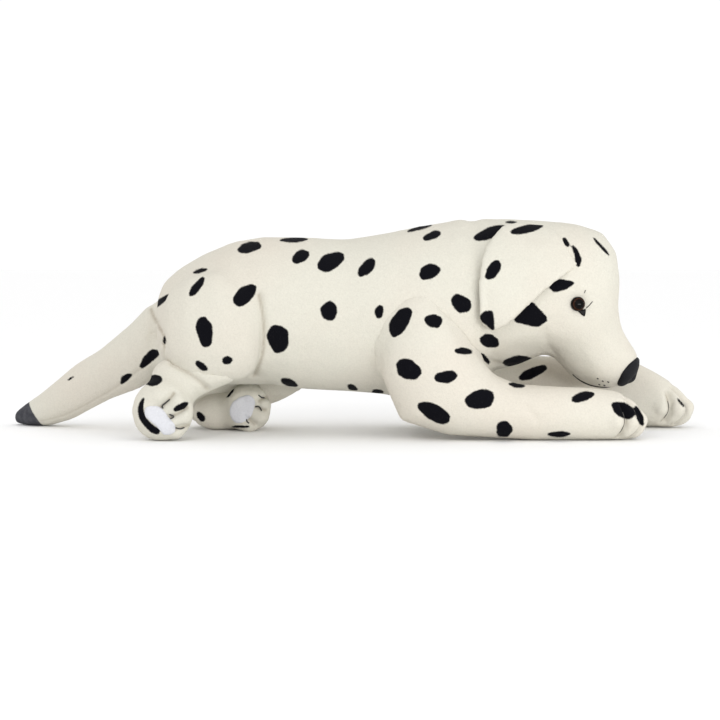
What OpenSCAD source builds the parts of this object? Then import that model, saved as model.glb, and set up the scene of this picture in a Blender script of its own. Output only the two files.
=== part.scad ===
// Plush dog, lying down with its head bowed over its forelegs.
// +X is the dog's forward, +Y its left side, +Z up. The floor is z = 0.
// Every stuffed form is a loft over ribs. A rib is one hoop of the form, given as
// [top_x, top_z, bottom_x, bottom_z, y, half_width].

/* [Dog] */
// Whole length, from the left forepaw to the tip of the tail
dog_length = 840; // [400:1:1200]
// Thickness of the plush fabric, backing and pile together
fabric_t = 2.6; // [1.5:0.1:4]
// Gap between two pieces that lie against each other
skin_gap = 0.4; // [0.2:0.05:0.8]
// Gap round a limb that moves on the torso
limb_gap = 1.2; // [0.8:0.1:2.5]

/* [Eyes and nose] */
// Diameter of each safety eye
eye_d = 17; // [12:0.5:22]
// Diameter of the post behind each eye and behind the nose
post_d = 5; // [4:0.25:6]
// Clearance of a washer on its post
post_clearance = 0.1; // [0.05:0.05:0.3]
// Diameter of the lock washers
washer_d = 16; // [12:0.5:18]
// Diameter of the embroidery thread
thread_d = 1.6; // [1:0.1:2.4]

/* [Movement] */
// How far each foreleg swings out from the body, in degrees
foreleg_swing = 15; // [5:1:15]
// How far the head lifts off the forelegs, in degrees
head_nod = 15; // [5:1:15]

/* [Hidden] */
// The ribs are in millimetres for a dog of this length.
drawn_length = 840;
size = dog_length / drawn_length;
// The ribs lie either side of the dog's spine; this puts the middle of the whole dog at y = 0.
middle_y = 4;

// Points in one hoop of a large form, of a foreleg and of a small form
hoop_n = 20;
foreleg_n = 16;
small_n = 14;

// Torso, from the rump to the collar of the neck
TORSO = [
    [-232, 158, -230, 85, 0, 30],
    [-224, 180, -222, 66, 0, 56],
    [-205, 197, -202, 58, 0, 74],
    [-176, 214, -174, 60, 0, 85],
    [-140, 229, -138, 61, 0, 91],
    [-105, 235, -104, 60, 0, 92],
    [ -60, 235,  -60, 52, 0, 88],
    [  -5, 233,   -5, 48, 0, 85],
    [  40, 240,   40, 44, 0, 88],
    [  85, 249,   88, 34, 0, 91],
    [ 112, 253,  122, 31, 0, 91],
    [ 128, 255,  150, 47, 0, 88],
    [ 137, 256,  167, 70, 0, 84],
];

// Head and neck, from the collar over the bowed crown to the nose
HEAD = [
    [151, 256, 173, 73, -1, 83],
    [184, 257, 203, 81, -2, 80],
    [226, 255, 226, 92, -3, 75],
    [268, 251, 240, 93, -4, 69],
    [300, 241, 248, 85, -5, 63],
    [317, 217, 254, 78, -5, 57],
    [321, 184, 261, 71, -5, 51],
    [319, 152, 269, 64, -5, 45],
    [323, 127, 281, 58, -5, 42],
    [333, 110, 297, 53, -5, 39],
    [342,  98, 316, 54, -5, 32],
    [345,  88, 329, 62, -5, 20],
];

// Tail, from its root behind the rump to its dark tip
TAIL = [
    [-239, 158, -233, 64, 12, 30],
    [-265, 131, -255, 50, 24, 29],
    [-307,  94, -292, 35, 44, 27],
    [-354,  64, -341,  9, 68, 26],
    [-380,  49, -374, -2, 80, 23],
];
TAIL_TIP = [
    [-381, 48, -375, -2, 81, 23],
    [-398, 38, -396, -3, 88, 18],
    [-412, 27, -412, -1, 94, 11],
    [-420, 17, -420,  5, 96,  5],
];

// Right foreleg, from the shoulder round the elbow to the toes
RIGHT_FORELEG = [
    [108, 166,  44, 158, -70, 22],
    [126, 136,  33, 112, -76, 36],
    [145, 105,  36,  72, -80, 41],
    [167,  77,  58,  22, -83, 41],
    [195,  65, 114,   5, -85, 38],
    [243,  62, 212,  -2, -86, 33],
    [283,  60, 277,  -5, -84, 31],
    [311,  56, 311,  -5, -82, 33],
    [331,  45, 334,  -1, -81, 29],
    [343,  28, 344,  10, -80, 16],
];

// Left foreleg, which reaches further forward and lies higher at the wrist
LEFT_FORELEG = [
    [124, 164,  52, 156, 72, 22],
    [146, 134,  40, 112, 77, 35],
    [170, 106,  42,  72, 78, 38],
    [204,  92,  72,  22, 78, 38],
    [238,  88, 142,  -1, 79, 37],
    [298,  88, 268,  -5, 78, 33],
    [346,  83, 336,  -5, 72, 31],
    [378,  66, 378,  -5, 66, 32],
    [402,  50, 404,  -1, 60, 28],
    [418,  31, 419,  10, 57, 16],
];

// Thighs, on the outside of the hips
RIGHT_THIGH = [
    [-222, 150, -220, 96, -62, 14],
    [-212, 172, -208, 78, -68, 27],
    [-190, 189, -186, 66, -73, 35],
    [-158, 196, -156, 64, -75, 38],
    [-128, 188, -128, 68, -74, 37],
    [-111, 168, -112, 77, -71, 30],
    [-104, 142, -105, 94, -68, 14],
];
LEFT_THIGH = [
    [-222, 138, -218, 52, 56, 18],
    [-210, 160, -206, 14, 64, 34],
    [-184, 172, -182, -3, 70, 42],
    [-148, 172, -148, -7, 72, 44],
    [-112, 152, -112, 20, 70, 41],
    [ -86, 120,  -86, 31, 66, 32],
    [ -73,  92,  -73, 38, 62, 16],
    [ -56,  76,  -56, 47, 58,  8],
];

// Shanks, from the knee back to the hock
RIGHT_SHANK = [
    [-120,  94, -122, 74, -75, 12],
    [-138,  98, -138, 66, -76, 18],
    [-162, 100, -160, 57, -77, 21],
    [-186, 100, -186, 43, -77, 21],
    [-208,  97, -208, 37, -76, 20],
    [-225,  89, -223, 46, -75, 16],
    [-233,  77, -232, 57, -74,  9],
];
LEFT_SHANK = [
    [-100, 46, -100, 10, 56, 14],
    [-114, 47, -114,  0, 52, 21],
    [-140, 46, -140, -3, 40, 24],
    [-170, 44, -170, -2, 32, 23],
    [-186, 36, -186,  6, 28, 16],
    [-192, 28, -192, 14, 26,  8],
];

// A hind foot, drawn with its heel at x = 0 and its sole facing +x
FOOT = [
    [ 0, 52,  3, 18, 0, 14],
    [ 8, 62, 10,  6, 0, 26],
    [26, 66, 28, -3, 0, 32],
    [44, 65, 44, -3, 0, 33],
    [53, 58, 53,  6, 0, 27],
    [57, 50, 57, 14, 0, 19],
];
right_foot_at = [-217, -54, 0];
right_foot_size = 1.1;
left_foot_at = [-125, 50, 0];
left_foot_size = 0.88;
sole_x = 57.4;
sole_t = 2.2;

// Shoulder seam that each foreleg swings about, seen from above
right_shoulder_at = [34, -92];
left_shoulder_at = [44, 92];
// Neck seam that the head nods about, seen from the side
neck_at = [150, 222];

// Right ear flap, seen from the side: its base seam, then round its edge
EAR_FLAP = [
    [266, 202], [252, 224], [238, 243], [220, 250], [196, 250], [176, 240], [164, 220],
    [159, 190], [160, 158], [166, 138], [175, 129], [192, 138], [216, 160], [240, 182],
];
ear_lift = 3;
ear_t = 2.8;
// Hoop angles that the right flap lies between, and how far out its outline cuts
ear_turn = [95, 225];
ear_reach = 130;

// The strip of fabric down the back of the head lies between these hoop angles, and
// the chin panel between these; 90 is the top of a hoop and 270 its bottom.
head_top = [72, 108];
chin = [234, 306];
belly = [234, 306];
seam_a = 0.4;

// Places of the eyes and the nose. An eye faces sideways, turned forward by eye_turn; the
// nose faces forward, pitched down by nose_pitch.
right_eye_at = [265, -68, 157];
left_eye_at = [265, 58, 157];
eye_turn = 16;
eye_dome_h = 5.5;
post_l = 15;
washer_t = 1.6;
washer_back = 9;
nose_at = [334, -5, 74];
nose_pitch = 32;
nose_d = 32;
nose_l = 10;

// Inner corner patch of an eye: two points at the rim of the dome and its tip
EYE_CORNER = [[2.2, -9.8], [9.8, -3], [11, -13]];
corner_lift = 1;
corner_t = 0.8;

// Whisker dots, as a rib of the head and a hoop angle
WHISKERS = [[8, 212], [8, 222], [9, 206], [9, 216], [9, 224]];
// How far the middle of a thread lies off a hoop, so that it clears steep fabric
thread_lift = 2;

// Hoop angles of the seams between the toes
paw_toes = [112.5, 157.5, 67.5];
foot_toes = [-2 * 360 / small_n, 0, 3 * 360 / small_n];
sole_z = 32;
sole_d = 40;

// ---- Lofts ----

function rib_centre(r) = [(r[0] + r[2]) / 2, r[4], (r[1] + r[3]) / 2];

function rib_half(r) = [(r[0] - r[2]) / 2, 0, (r[1] - r[3]) / 2];

// The point at hoop angle a on a rib that is grown by g; 90 is its top, 180 its right
function rib_point(r, a, g) =
    let (h = rib_half(r))
    rib_centre(r) + h * ((1 + g / norm(h)) * sin(a)) + [0, (r[5] + g) * cos(a), 0];

// A form lies flat where it meets the floor.
function lift_to_floor(p, g) = [p.x, p.y, max(p.z, -g)];

// A point of hoop i of a form that is grown by g, on the floor or above it
function hoop_point(ribs, i, a, g) = lift_to_floor(rib_point(ribs[i], a, g), g);

// The same point, moved along the form by ends where hoop i is its first or last
function loft_point(ribs, i, a, g, ends) =
    let (
        last = len(ribs) - 1,
        j = i == 0 ? 1 : i == last ? last - 1 : i,
        p = hoop_point(ribs, i, a, g),
        step = norm(rib_centre(ribs[i]) - rib_centre(ribs[j]))
    )
    i == j ? p : p + (p - hoop_point(ribs, j, a, g)) * ends / step;

// Faces turned over on a form whose ribs run forward, so that every form faces outward
function facing_out(ribs, faces) =
    ribs[len(ribs) - 1][0] < ribs[0][0] ? faces :
    [for (f = faces) [for (i = [len(f) - 1 : -1 : 0]) f[i]]];

// Solid loft over the ribs, grown by g; its two ends move out by ends
module loft(ribs, g = 0, n = hoop_n, ends = undef) {
    m = len(ribs);
    shift = is_undef(ends) ? g : ends;
    points = [
        for (i = [0 : m - 1], k = [0 : n - 1])
            loft_point(ribs, i, 360 * k / n, g, shift)
    ];
    sides = [
        for (i = [0 : m - 2], k = [0 : n - 1])
            let (a = i * n + k, b = i * n + (k + 1) % n)
            each [[a, b, b + n], [a, b + n, a + n]]
    ];
    first = [for (k = [n - 1 : -1 : 0]) k];
    last = [for (k = [0 : n - 1]) (m - 1) * n + k];
    polyhedron(points, facing_out(ribs, concat(sides, [first, last])), convexity = 6);
}

// Curved sheet over the ribs at the given hoop angles, from growth g_in to g_out
module sheet(ribs, angles, g_out, g_in) {
    m = len(ribs);
    w = len(angles);
    n = w - 1;
    layer = m * w;
    points = [
        for (g = [g_out, g_in], i = [0 : m - 1], a = angles)
            hoop_point(ribs, i, a, g)
    ];
    outer = [
        for (i = [0 : m - 2], k = [0 : n - 1])
            let (a = i * w + k)
            each [[a, a + 1, a + 1 + w], [a, a + 1 + w, a + w]]
    ];
    inner = [for (f = outer) [f[2] + layer, f[1] + layer, f[0] + layer]];
    start_edge = [
        for (k = [0 : n - 1])
            each [[k, k + layer, k + 1 + layer], [k, k + 1 + layer, k + 1]]
    ];
    end_edge = [
        for (k = [0 : n - 1])
            let (a = (m - 1) * w + k)
            each [[a, a + 1 + layer, a + layer], [a, a + 1, a + 1 + layer]]
    ];
    low_side = [
        for (i = [0 : m - 2])
            let (a = i * w)
            each [[a, a + w, a + w + layer], [a, a + w + layer, a + layer]]
    ];
    high_side = [
        for (i = [0 : m - 2])
            let (a = i * w + n)
            each [[a, a + w + layer, a + w], [a, a + layer, a + w + layer]]
    ];
    faces = concat(outer, inner, start_edge, end_edge, low_side, high_side);
    polyhedron(points, facing_out(ribs, faces), convexity = 6);
}

// One fabric panel of a stuffed form with n points in a hoop, between two hoop angles.
// Its two seam edges are drawn in a little.
module fabric(ribs, a0, a1, n = hoop_n) {
    step = 360 / n;
    inner = [for (a = [a0 + step : step : a1 - step / 2]) a];
    sheet(ribs, concat([a0 + seam_a], inner, [a1 - seam_a]), 0, -fabric_t);
}

// Filling of a stuffed form, just inside its fabric
module filling(ribs, n = hoop_n) {
    loft(ribs, -fabric_t - skin_gap, n);
}

// Joins the facets of a trimmed soft form into one closed surface
module soft() {
    resize([0, 0, 0])
        children();
}

module sized() {
    scale(size)
        translate([0, middle_y, 0])
            children();
}

// ---- Torso ----

module torso_right_panel() {
    color("ivory")
        sized()
            fabric(TORSO, 90, belly[0]);
}

module torso_left_panel() {
    color("ivory")
        sized()
            fabric(TORSO, belly[1] - 360, 90);
}

module belly_panel() {
    color("mistyrose")
        sized()
            fabric(TORSO, belly[0], belly[1]);
}

module torso_stuffing() {
    color("white")
        sized()
            filling(TORSO);
}

// ---- Tail ----

module tail_upper_panel() {
    color("ivory")
        sized()
            fabric(TAIL, 0, 180, small_n);
}

module tail_under_panel() {
    color("mistyrose")
        sized()
            fabric(TAIL, 180, 360, small_n);
}

module tail_tip_panel() {
    color("dimgray")
        sized()
            soft()
                difference() {
                    loft(TAIL_TIP, 0, small_n);
                    loft(TAIL_TIP, -fabric_t, small_n, 0.5);
                }
}

module tail_stuffing() {
    color("white")
        sized()
            filling(TAIL, small_n);
}

// ---- Head ----

module at_right_eye() {
    translate(right_eye_at)
        rotate([90, 0, 0])
            rotate([0, eye_turn, 0])
                children();
}

module at_left_eye() {
    translate(left_eye_at)
        rotate([-90, 0, 0])
            rotate([0, eye_turn, 0])
                children();
}

module at_nose() {
    translate(nose_at)
        rotate([0, 90 + nose_pitch, 0])
            children();
}

// Room in the head for a post, for the washer behind it and for the base of the dome
module post_room(base_d) {
    translate([0, 0, -skin_gap])
        cylinder(h = post_l, d = base_d + 2 * skin_gap, $fn = 20);
    translate([0, 0, -post_l - 1])
        cylinder(h = post_l + 1, d = post_d + 1, $fn = 12);
    translate([0, 0, -post_l - 1])
        cylinder(h = post_l + 1 - washer_back + washer_t + 1, d = washer_d + 1, $fn = 16);
}

module head_piece(tone) {
    color(tone)
        sized()
            soft()
                difference() {
                    children();
                    at_right_eye()
                        post_room(eye_d);
                    at_left_eye()
                        post_room(eye_d);
                    at_nose()
                        post_room(nose_d);
                }
}

module head_right_panel() {
    head_piece("ivory")
        fabric(HEAD, head_top[1], chin[0]);
}

module head_left_panel() {
    head_piece("ivory")
        fabric(HEAD, chin[1] - 360, head_top[0]);
}

module head_top_panel() {
    head_piece("ivory")
        fabric(HEAD, head_top[0], head_top[1]);
}

module chin_panel() {
    head_piece("ivory")
        fabric(HEAD, chin[0], chin[1]);
}

module head_stuffing() {
    head_piece("white")
        filling(HEAD);
}

// Round post with a smooth shank, behind the base of an eye or of the nose
module post() {
    translate([0, 0, -post_l])
        cylinder(h = post_l + 0.5, d = post_d, $fn = 32);
}

module dome(d, h) {
    rotate_extrude($fn = 48)
        intersection() {
            scale([d / 2, h])
                circle(r = 1, $fn = 48);
            square([d, h]);
        }
}

module washer() {
    translate([0, 0, -washer_back])
        difference() {
            cylinder(h = washer_t, d = washer_d, $fn = 48);
            translate([0, 0, -1])
                cylinder(h = washer_t + 2, d = post_d + post_clearance, $fn = 48);
        }
}

module eye() {
    dome(eye_d, eye_dome_h);
    post();
}

// Leather-look triangle at the inner corner of an eye, lying on the fabric
module eye_corner() {
    translate([0, 0, corner_lift])
        linear_extrude(height = corner_t)
            polygon(EYE_CORNER);
}

module nose() {
    color("black")
        sized()
            at_nose() {
                dome(nose_d, nose_l);
                post();
            }
}

module nose_washer() {
    color("gainsboro")
        sized()
            at_nose()
                washer();
}

module right_eye() {
    color("saddlebrown")
        sized()
            at_right_eye()
                eye();
}

module left_eye() {
    color("saddlebrown")
        sized()
            at_left_eye()
                eye();
}

module right_eye_washer() {
    color("gainsboro")
        sized()
            at_right_eye()
                washer();
}

module left_eye_washer() {
    color("gainsboro")
        sized()
            at_left_eye()
                washer();
}

module right_eye_corner() {
    color("black")
        sized()
            at_right_eye()
                eye_corner();
}

module left_eye_corner() {
    color("black")
        sized()
            at_left_eye()
                mirror([0, 1, 0])
                    eye_corner();
}

// ---- Embroidery ----

module thread(points) {
    for (i = [0 : len(points) - 2])
        hull() {
            translate(points[i])
                sphere(d = thread_d, $fn = 8);
            translate(points[i + 1])
                sphere(d = thread_d, $fn = 8);
        }
}

// A line of stitches along a form at hoop angle a, from rib i to rib j
module stitch_line(ribs, i, j, a) {
    thread([for (k = [i : j]) rib_point(ribs[k], a, thread_lift)]);
}

module mouth_stitch() {
    color("black")
        sized() {
            stitch_line(HEAD, 7, 11, chin[0]);
            stitch_line(HEAD, 7, 11, chin[1]);
        }
}

module whisker_stitches() {
    color("black")
        sized()
            for (w = WHISKERS, a = [w[1], 540 - w[1]])
                translate(rib_point(HEAD[w[0]], a, thread_lift))
                    sphere(d = thread_d, $fn = 8);
}

// ---- Ears ----

// One layer of an ear flap, draped over one side of the head between two hoop angles;
// side is 1 for the right ear and -1 for the left, and layer 0 is the lining
module ear_layer(a0, a1, side, layer) {
    low = ear_lift + layer * (ear_t + skin_gap);
    step = (a1 - a0) / small_n;
    soft()
        intersection() {
            sheet([for (i = [0 : 5]) HEAD[i]], [for (k = [0 : small_n]) a0 + k * step],
                  low + ear_t, low);
            rotate([90, 0, 0])
                scale([1, 1, side])
                    linear_extrude(height = ear_reach)
                        polygon(EAR_FLAP);
        }
}

module right_ear_outer() {
    color("ivory")
        sized()
            ear_layer(ear_turn[0], ear_turn[1], 1, 1);
}

module right_ear_lining() {
    color("mistyrose")
        sized()
            ear_layer(ear_turn[0], ear_turn[1], 1, 0);
}

module left_ear_outer() {
    color("ivory")
        sized()
            ear_layer(180 - ear_turn[1], 180 - ear_turn[0], -1, 1);
}

module left_ear_lining() {
    color("mistyrose")
        sized()
            ear_layer(180 - ear_turn[1], 180 - ear_turn[0], -1, 0);
}

// ---- Forelegs ----

// Space that the torso takes while a foreleg swings out about its shoulder seam
module torso_room(hinge, side) {
    for (turn = [0, foreleg_swing / 2, foreleg_swing])
        translate(hinge)
            rotate(side * turn)
                translate(-hinge)
                    loft(TORSO, limb_gap);
}

// Space that the head takes while it nods
module head_room() {
    hinge = [neck_at[0], 0, neck_at[1]];
    for (turn = [0, head_nod / 2, head_nod])
        translate(hinge)
            rotate([0, -turn, 0])
                translate(-hinge)
                    loft(HEAD, limb_gap);
}

module right_foreleg_piece(tone) {
    color(tone)
        sized()
            soft()
                difference() {
                    children();
                    torso_room(right_shoulder_at, 1);
                    head_room();
                }
}

module left_foreleg_piece(tone) {
    color(tone)
        sized()
            soft()
                difference() {
                    children();
                    torso_room(left_shoulder_at, -1);
                    head_room();
                }
}

module toe_stitches(ribs, i, j, turns) {
    for (a = turns)
        stitch_line(ribs, i, j, a);
}

module right_foreleg_outer() {
    right_foreleg_piece("ivory")
        fabric(RIGHT_FORELEG, 90, 270, foreleg_n);
}

module right_foreleg_inner() {
    right_foreleg_piece("ivory")
        fabric(RIGHT_FORELEG, -90, 90, foreleg_n);
}

module right_foreleg_stuffing() {
    right_foreleg_piece("white")
        filling(RIGHT_FORELEG, foreleg_n);
}

module right_foreleg_toe_stitches() {
    color("darkgray")
        sized()
            toe_stitches(RIGHT_FORELEG, 7, 9, paw_toes);
}

module left_foreleg_outer() {
    left_foreleg_piece("ivory")
        fabric(LEFT_FORELEG, -90, 90, foreleg_n);
}

module left_foreleg_inner() {
    left_foreleg_piece("ivory")
        fabric(LEFT_FORELEG, 90, 270, foreleg_n);
}

module left_foreleg_stuffing() {
    left_foreleg_piece("white")
        filling(LEFT_FORELEG, foreleg_n);
}

module left_foreleg_toe_stitches() {
    color("darkgray")
        sized()
            toe_stitches(LEFT_FORELEG, 7, 9, [for (a = paw_toes) 180 - a]);
}

// ---- Hind legs ----

module at_right_foot() {
    translate(right_foot_at)
        rotate(-90)
            scale(right_foot_size)
                children();
}

module at_left_foot() {
    translate(left_foot_at)
        rotate(-90)
            scale(left_foot_size)
                children();
}

// Cuts a thigh where it lies against the torso
module beside_torso() {
    difference() {
        children();
        loft(TORSO, skin_gap);
    }
}

// Cuts a shank where it lies against the torso and the thigh
module beside_thigh(thigh) {
    difference() {
        children();
        loft(TORSO, skin_gap);
        loft(thigh, skin_gap, small_n);
    }
}

// Cuts a foot where it meets the rest of the leg
module beside_shank(thigh, shank) {
    difference() {
        children();
        loft(TORSO, skin_gap);
        loft(thigh, skin_gap, small_n);
        loft(shank, skin_gap, small_n);
    }
}

module closed_fabric(ribs) {
    difference() {
        loft(ribs, 0, small_n);
        loft(ribs, -fabric_t, small_n);
    }
}

// Fabric of a form that is open at both ends, as a tube with two skins
module open_fabric(ribs) {
    m = len(ribs);
    n = small_n;
    layer = m * n;
    points = [
        for (g = [0, -fabric_t], i = [0 : m - 1], k = [0 : n - 1])
            hoop_point(ribs, i, 360 * k / n, g)
    ];
    outer = [
        for (i = [0 : m - 2], k = [0 : n - 1])
            let (a = i * n + k, b = i * n + (k + 1) % n)
            each [[a, b, b + n], [a, b + n, a + n]]
    ];
    inner = [for (f = outer) [f[2] + layer, f[1] + layer, f[0] + layer]];
    first = [
        for (k = [0 : n - 1])
            let (a = k, b = (k + 1) % n)
            each [[b, a, a + layer], [b, a + layer, b + layer]]
    ];
    last = [
        for (k = [0 : n - 1])
            let (a = layer - n + k, b = layer - n + (k + 1) % n)
            each [[a, b, b + layer], [a, b + layer, a + layer]]
    ];
    polyhedron(points, facing_out(ribs, concat(outer, inner, first, last)), convexity = 6);
}

module sole() {
    translate([sole_x, 0, sole_z])
        rotate([0, 90, 0])
            cylinder(h = sole_t, d = sole_d, $fn = 48);
}

module right_thigh_panel() {
    color("ivory")
        sized()
            soft()
                beside_torso()
                    closed_fabric(RIGHT_THIGH);
}

module right_shank_panel() {
    color("ivory")
        sized()
            soft()
                beside_thigh(RIGHT_THIGH)
                    open_fabric(RIGHT_SHANK);
}

module right_foot_panel() {
    color("ivory")
        sized()
            soft()
                beside_shank(RIGHT_THIGH, RIGHT_SHANK)
                    at_right_foot()
                        open_fabric(FOOT);
}

module right_foot_sole() {
    color("lavender")
        sized()
            at_right_foot()
                sole();
}

module right_foot_toe_stitches() {
    color("darkgray")
        sized()
            at_right_foot()
                toe_stitches(FOOT, 3, 4, foot_toes);
}

module right_hind_stuffing() {
    color("white")
        sized()
            soft() {
                beside_torso()
                    filling(RIGHT_THIGH, small_n);
                beside_thigh(RIGHT_THIGH)
                    filling(RIGHT_SHANK, small_n);
                beside_shank(RIGHT_THIGH, RIGHT_SHANK)
                    at_right_foot()
                        filling(FOOT, small_n);
            }
}

module left_thigh_panel() {
    color("ivory")
        sized()
            soft()
                beside_torso()
                    closed_fabric(LEFT_THIGH);
}

module left_shank_panel() {
    color("ivory")
        sized()
            soft()
                beside_thigh(LEFT_THIGH)
                    open_fabric(LEFT_SHANK);
}

module left_foot_panel() {
    color("ivory")
        sized()
            soft()
                beside_shank(LEFT_THIGH, LEFT_SHANK)
                    at_left_foot()
                        open_fabric(FOOT);
}

module left_foot_sole() {
    color("lavender")
        sized()
            at_left_foot()
                sole();
}

module left_foot_toe_stitches() {
    color("darkgray")
        sized()
            at_left_foot()
                toe_stitches(FOOT, 3, 4, foot_toes);
}

module left_hind_stuffing() {
    color("white")
        sized()
            soft() {
                beside_torso()
                    filling(LEFT_THIGH, small_n);
                beside_thigh(LEFT_THIGH)
                    filling(LEFT_SHANK, small_n);
                beside_shank(LEFT_THIGH, LEFT_SHANK)
                    at_left_foot()
                        filling(FOOT, small_n);
            }
}

torso_right_panel();
torso_left_panel();
belly_panel();
torso_stuffing();
tail_upper_panel();
tail_under_panel();
tail_tip_panel();
tail_stuffing();
head_right_panel();
head_left_panel();
head_top_panel();
chin_panel();
head_stuffing();
nose();
nose_washer();
right_eye();
left_eye();
right_eye_washer();
left_eye_washer();
right_eye_corner();
left_eye_corner();
mouth_stitch();
whisker_stitches();
right_ear_outer();
right_ear_lining();
left_ear_outer();
left_ear_lining();
right_foreleg_outer();
right_foreleg_inner();
right_foreleg_stuffing();
right_foreleg_toe_stitches();
left_foreleg_outer();
left_foreleg_inner();
left_foreleg_stuffing();
left_foreleg_toe_stitches();
right_thigh_panel();
right_shank_panel();
right_foot_panel();
right_foot_sole();
right_foot_toe_stitches();
right_hind_stuffing();
left_thigh_panel();
left_shank_panel();
left_foot_panel();
left_foot_sole();
left_foot_toe_stitches();
left_hind_stuffing();
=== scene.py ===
"""A large stuffed toy dog, lying down, in spotted short-pile plush.

The skins grow from the frame's own forms, are filled out by cloth pressure and then sculpted.
Lengths in the code are metres; tables of places and sizes are in millimetres.
"""
import math

import bmesh
import bpy
import numpy as np
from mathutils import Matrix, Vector
from mathutils.bvhtree import BVHTree
from mathutils.geometry import delaunay_2d_cdt


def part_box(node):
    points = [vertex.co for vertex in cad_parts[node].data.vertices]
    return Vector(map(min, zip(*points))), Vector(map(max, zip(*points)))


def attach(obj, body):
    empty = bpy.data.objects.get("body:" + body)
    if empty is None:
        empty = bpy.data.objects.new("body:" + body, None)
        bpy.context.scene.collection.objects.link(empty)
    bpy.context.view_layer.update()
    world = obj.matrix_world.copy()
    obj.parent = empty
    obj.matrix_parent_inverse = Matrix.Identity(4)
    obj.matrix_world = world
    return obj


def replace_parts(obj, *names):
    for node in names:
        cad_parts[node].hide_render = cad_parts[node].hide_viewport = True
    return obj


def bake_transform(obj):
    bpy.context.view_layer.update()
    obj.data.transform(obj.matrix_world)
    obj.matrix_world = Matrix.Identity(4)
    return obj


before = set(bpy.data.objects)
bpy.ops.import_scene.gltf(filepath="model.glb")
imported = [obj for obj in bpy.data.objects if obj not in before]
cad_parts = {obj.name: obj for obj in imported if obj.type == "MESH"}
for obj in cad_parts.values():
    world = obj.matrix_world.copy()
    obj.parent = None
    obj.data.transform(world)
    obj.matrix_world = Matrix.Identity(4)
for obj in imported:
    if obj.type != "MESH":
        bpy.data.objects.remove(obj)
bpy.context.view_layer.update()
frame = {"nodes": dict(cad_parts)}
nodes = frame["nodes"]
scene = bpy.context.scene
mm = 0.001
RIGHT, LEFT = -1, 1

# ---- Meshes as arrays ----


def points_of(obj):
    co = np.zeros(len(obj.data.vertices) * 3)
    obj.data.vertices.foreach_get("co", co)
    return co.reshape(-1, 3)


def move_points(obj, co):
    obj.data.vertices.foreach_set("co", co.ravel())
    obj.data.update()


def normals_of(obj):
    no = np.zeros(len(obj.data.vertices) * 3)
    obj.data.vertices.foreach_get("normal", no)
    return no.reshape(-1, 3)


def edges_of(mesh):
    e = np.zeros(len(mesh.edges) * 2, int)
    mesh.edges.foreach_get("vertices", e)
    return e.reshape(-1, 2)


def unit(v):
    return v / np.maximum(np.linalg.norm(v, axis=-1, keepdims=True), 1e-12)


def ease(t):
    t = np.clip(t, 0, 1)
    return t * t * (3 - 2 * t)


def new_mesh(name, verts, faces):
    data = bpy.data.meshes.new(name)
    data.from_pydata(np.asarray(verts).tolist(), [], faces)
    data.update()
    return data


def new_object(name, data):
    obj = bpy.data.objects.new(name, data)
    scene.collection.objects.link(obj)
    return obj


def part_labels(mesh):
    """One number per vertex, the same for all the vertices of a connected part."""
    e = edges_of(mesh)
    label = np.arange(len(mesh.vertices))
    while True:
        low = np.minimum(label[e[:, 0]], label[e[:, 1]])
        new = label.copy()
        np.minimum.at(new, e[:, 0], low)
        np.minimum.at(new, e[:, 1], low)
        new = new[new]
        if (new == label).all():
            return label
        label = new


def keep_vertices(obj, keep):
    """Drops every face that has a vertex outside keep."""
    faces = [p.vertices[:] for p in obj.data.polygons if all(keep[i] for i in p.vertices)]
    used = np.zeros(len(keep), bool)
    used[[i for f in faces for i in f]] = True
    index = np.cumsum(used) - 1
    obj.data = new_mesh(obj.name, points_of(obj)[used], [[index[i] for i in f] for f in faces])


def keep_largest_part(obj):
    label = part_labels(obj.data)
    values, counts = np.unique(label, return_counts=True)
    keep_vertices(obj, label == values[counts.argmax()])


def keep_solid_parts(obj):
    """Drops the walls of hollows inside, whose volume counts as negative, and crumbs."""
    co, label = points_of(obj), part_labels(obj.data)
    obj.data.calc_loop_triangles()
    corners = np.array([t.vertices[:] for t in obj.data.loop_triangles])
    a, b, c = (co[corners[:, k]] for k in range(3))
    share = (a * np.cross(b, c)).sum(1) / 6
    volume = np.bincount(label[corners[:, 0]], share, len(co))
    keep_vertices(obj, volume[label] > 1e-6)


def apply_modifiers(obj):
    seen = obj.evaluated_get(bpy.context.evaluated_depsgraph_get())
    mesh = bpy.data.meshes.new_from_object(seen)
    obj.modifiers.clear()
    obj.data = mesh


def remesh(obj, voxel):
    m = obj.modifiers.new("remesh", "REMESH")
    m.mode = "VOXEL"
    m.voxel_size = voxel
    apply_modifiers(obj)


def subdivide(obj, levels=1):
    m = obj.modifiers.new("subdivide", "SUBSURF")
    m.levels = levels
    m.render_levels = levels
    apply_modifiers(obj)
    obj.data.shade_smooth()


def swell(obj, distance):
    move_points(obj, points_of(obj) + normals_of(obj) * distance)


def relax(obj, steps, keep_volume=True, weight=None):
    """Smooths a mesh; with keep_volume, every second step swells it back."""
    co, e = points_of(obj), edges_of(obj.data)
    n = len(co)
    degree = np.maximum(np.bincount(e.ravel(), minlength=n), 1)[:, None]
    for step in range(steps):
        around = np.stack([
            np.bincount(e[:, 0], co[e[:, 1], k], n) + np.bincount(e[:, 1], co[e[:, 0], k], n)
            for k in range(3)
        ], 1) / degree
        share = -0.515 if keep_volume and step % 2 else 0.5
        move = (around - co) * share
        co = co + (move if weight is None else move * weight[:, None])
    move_points(obj, co)


# ---- Skins grown from the frame's forms ----


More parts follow.
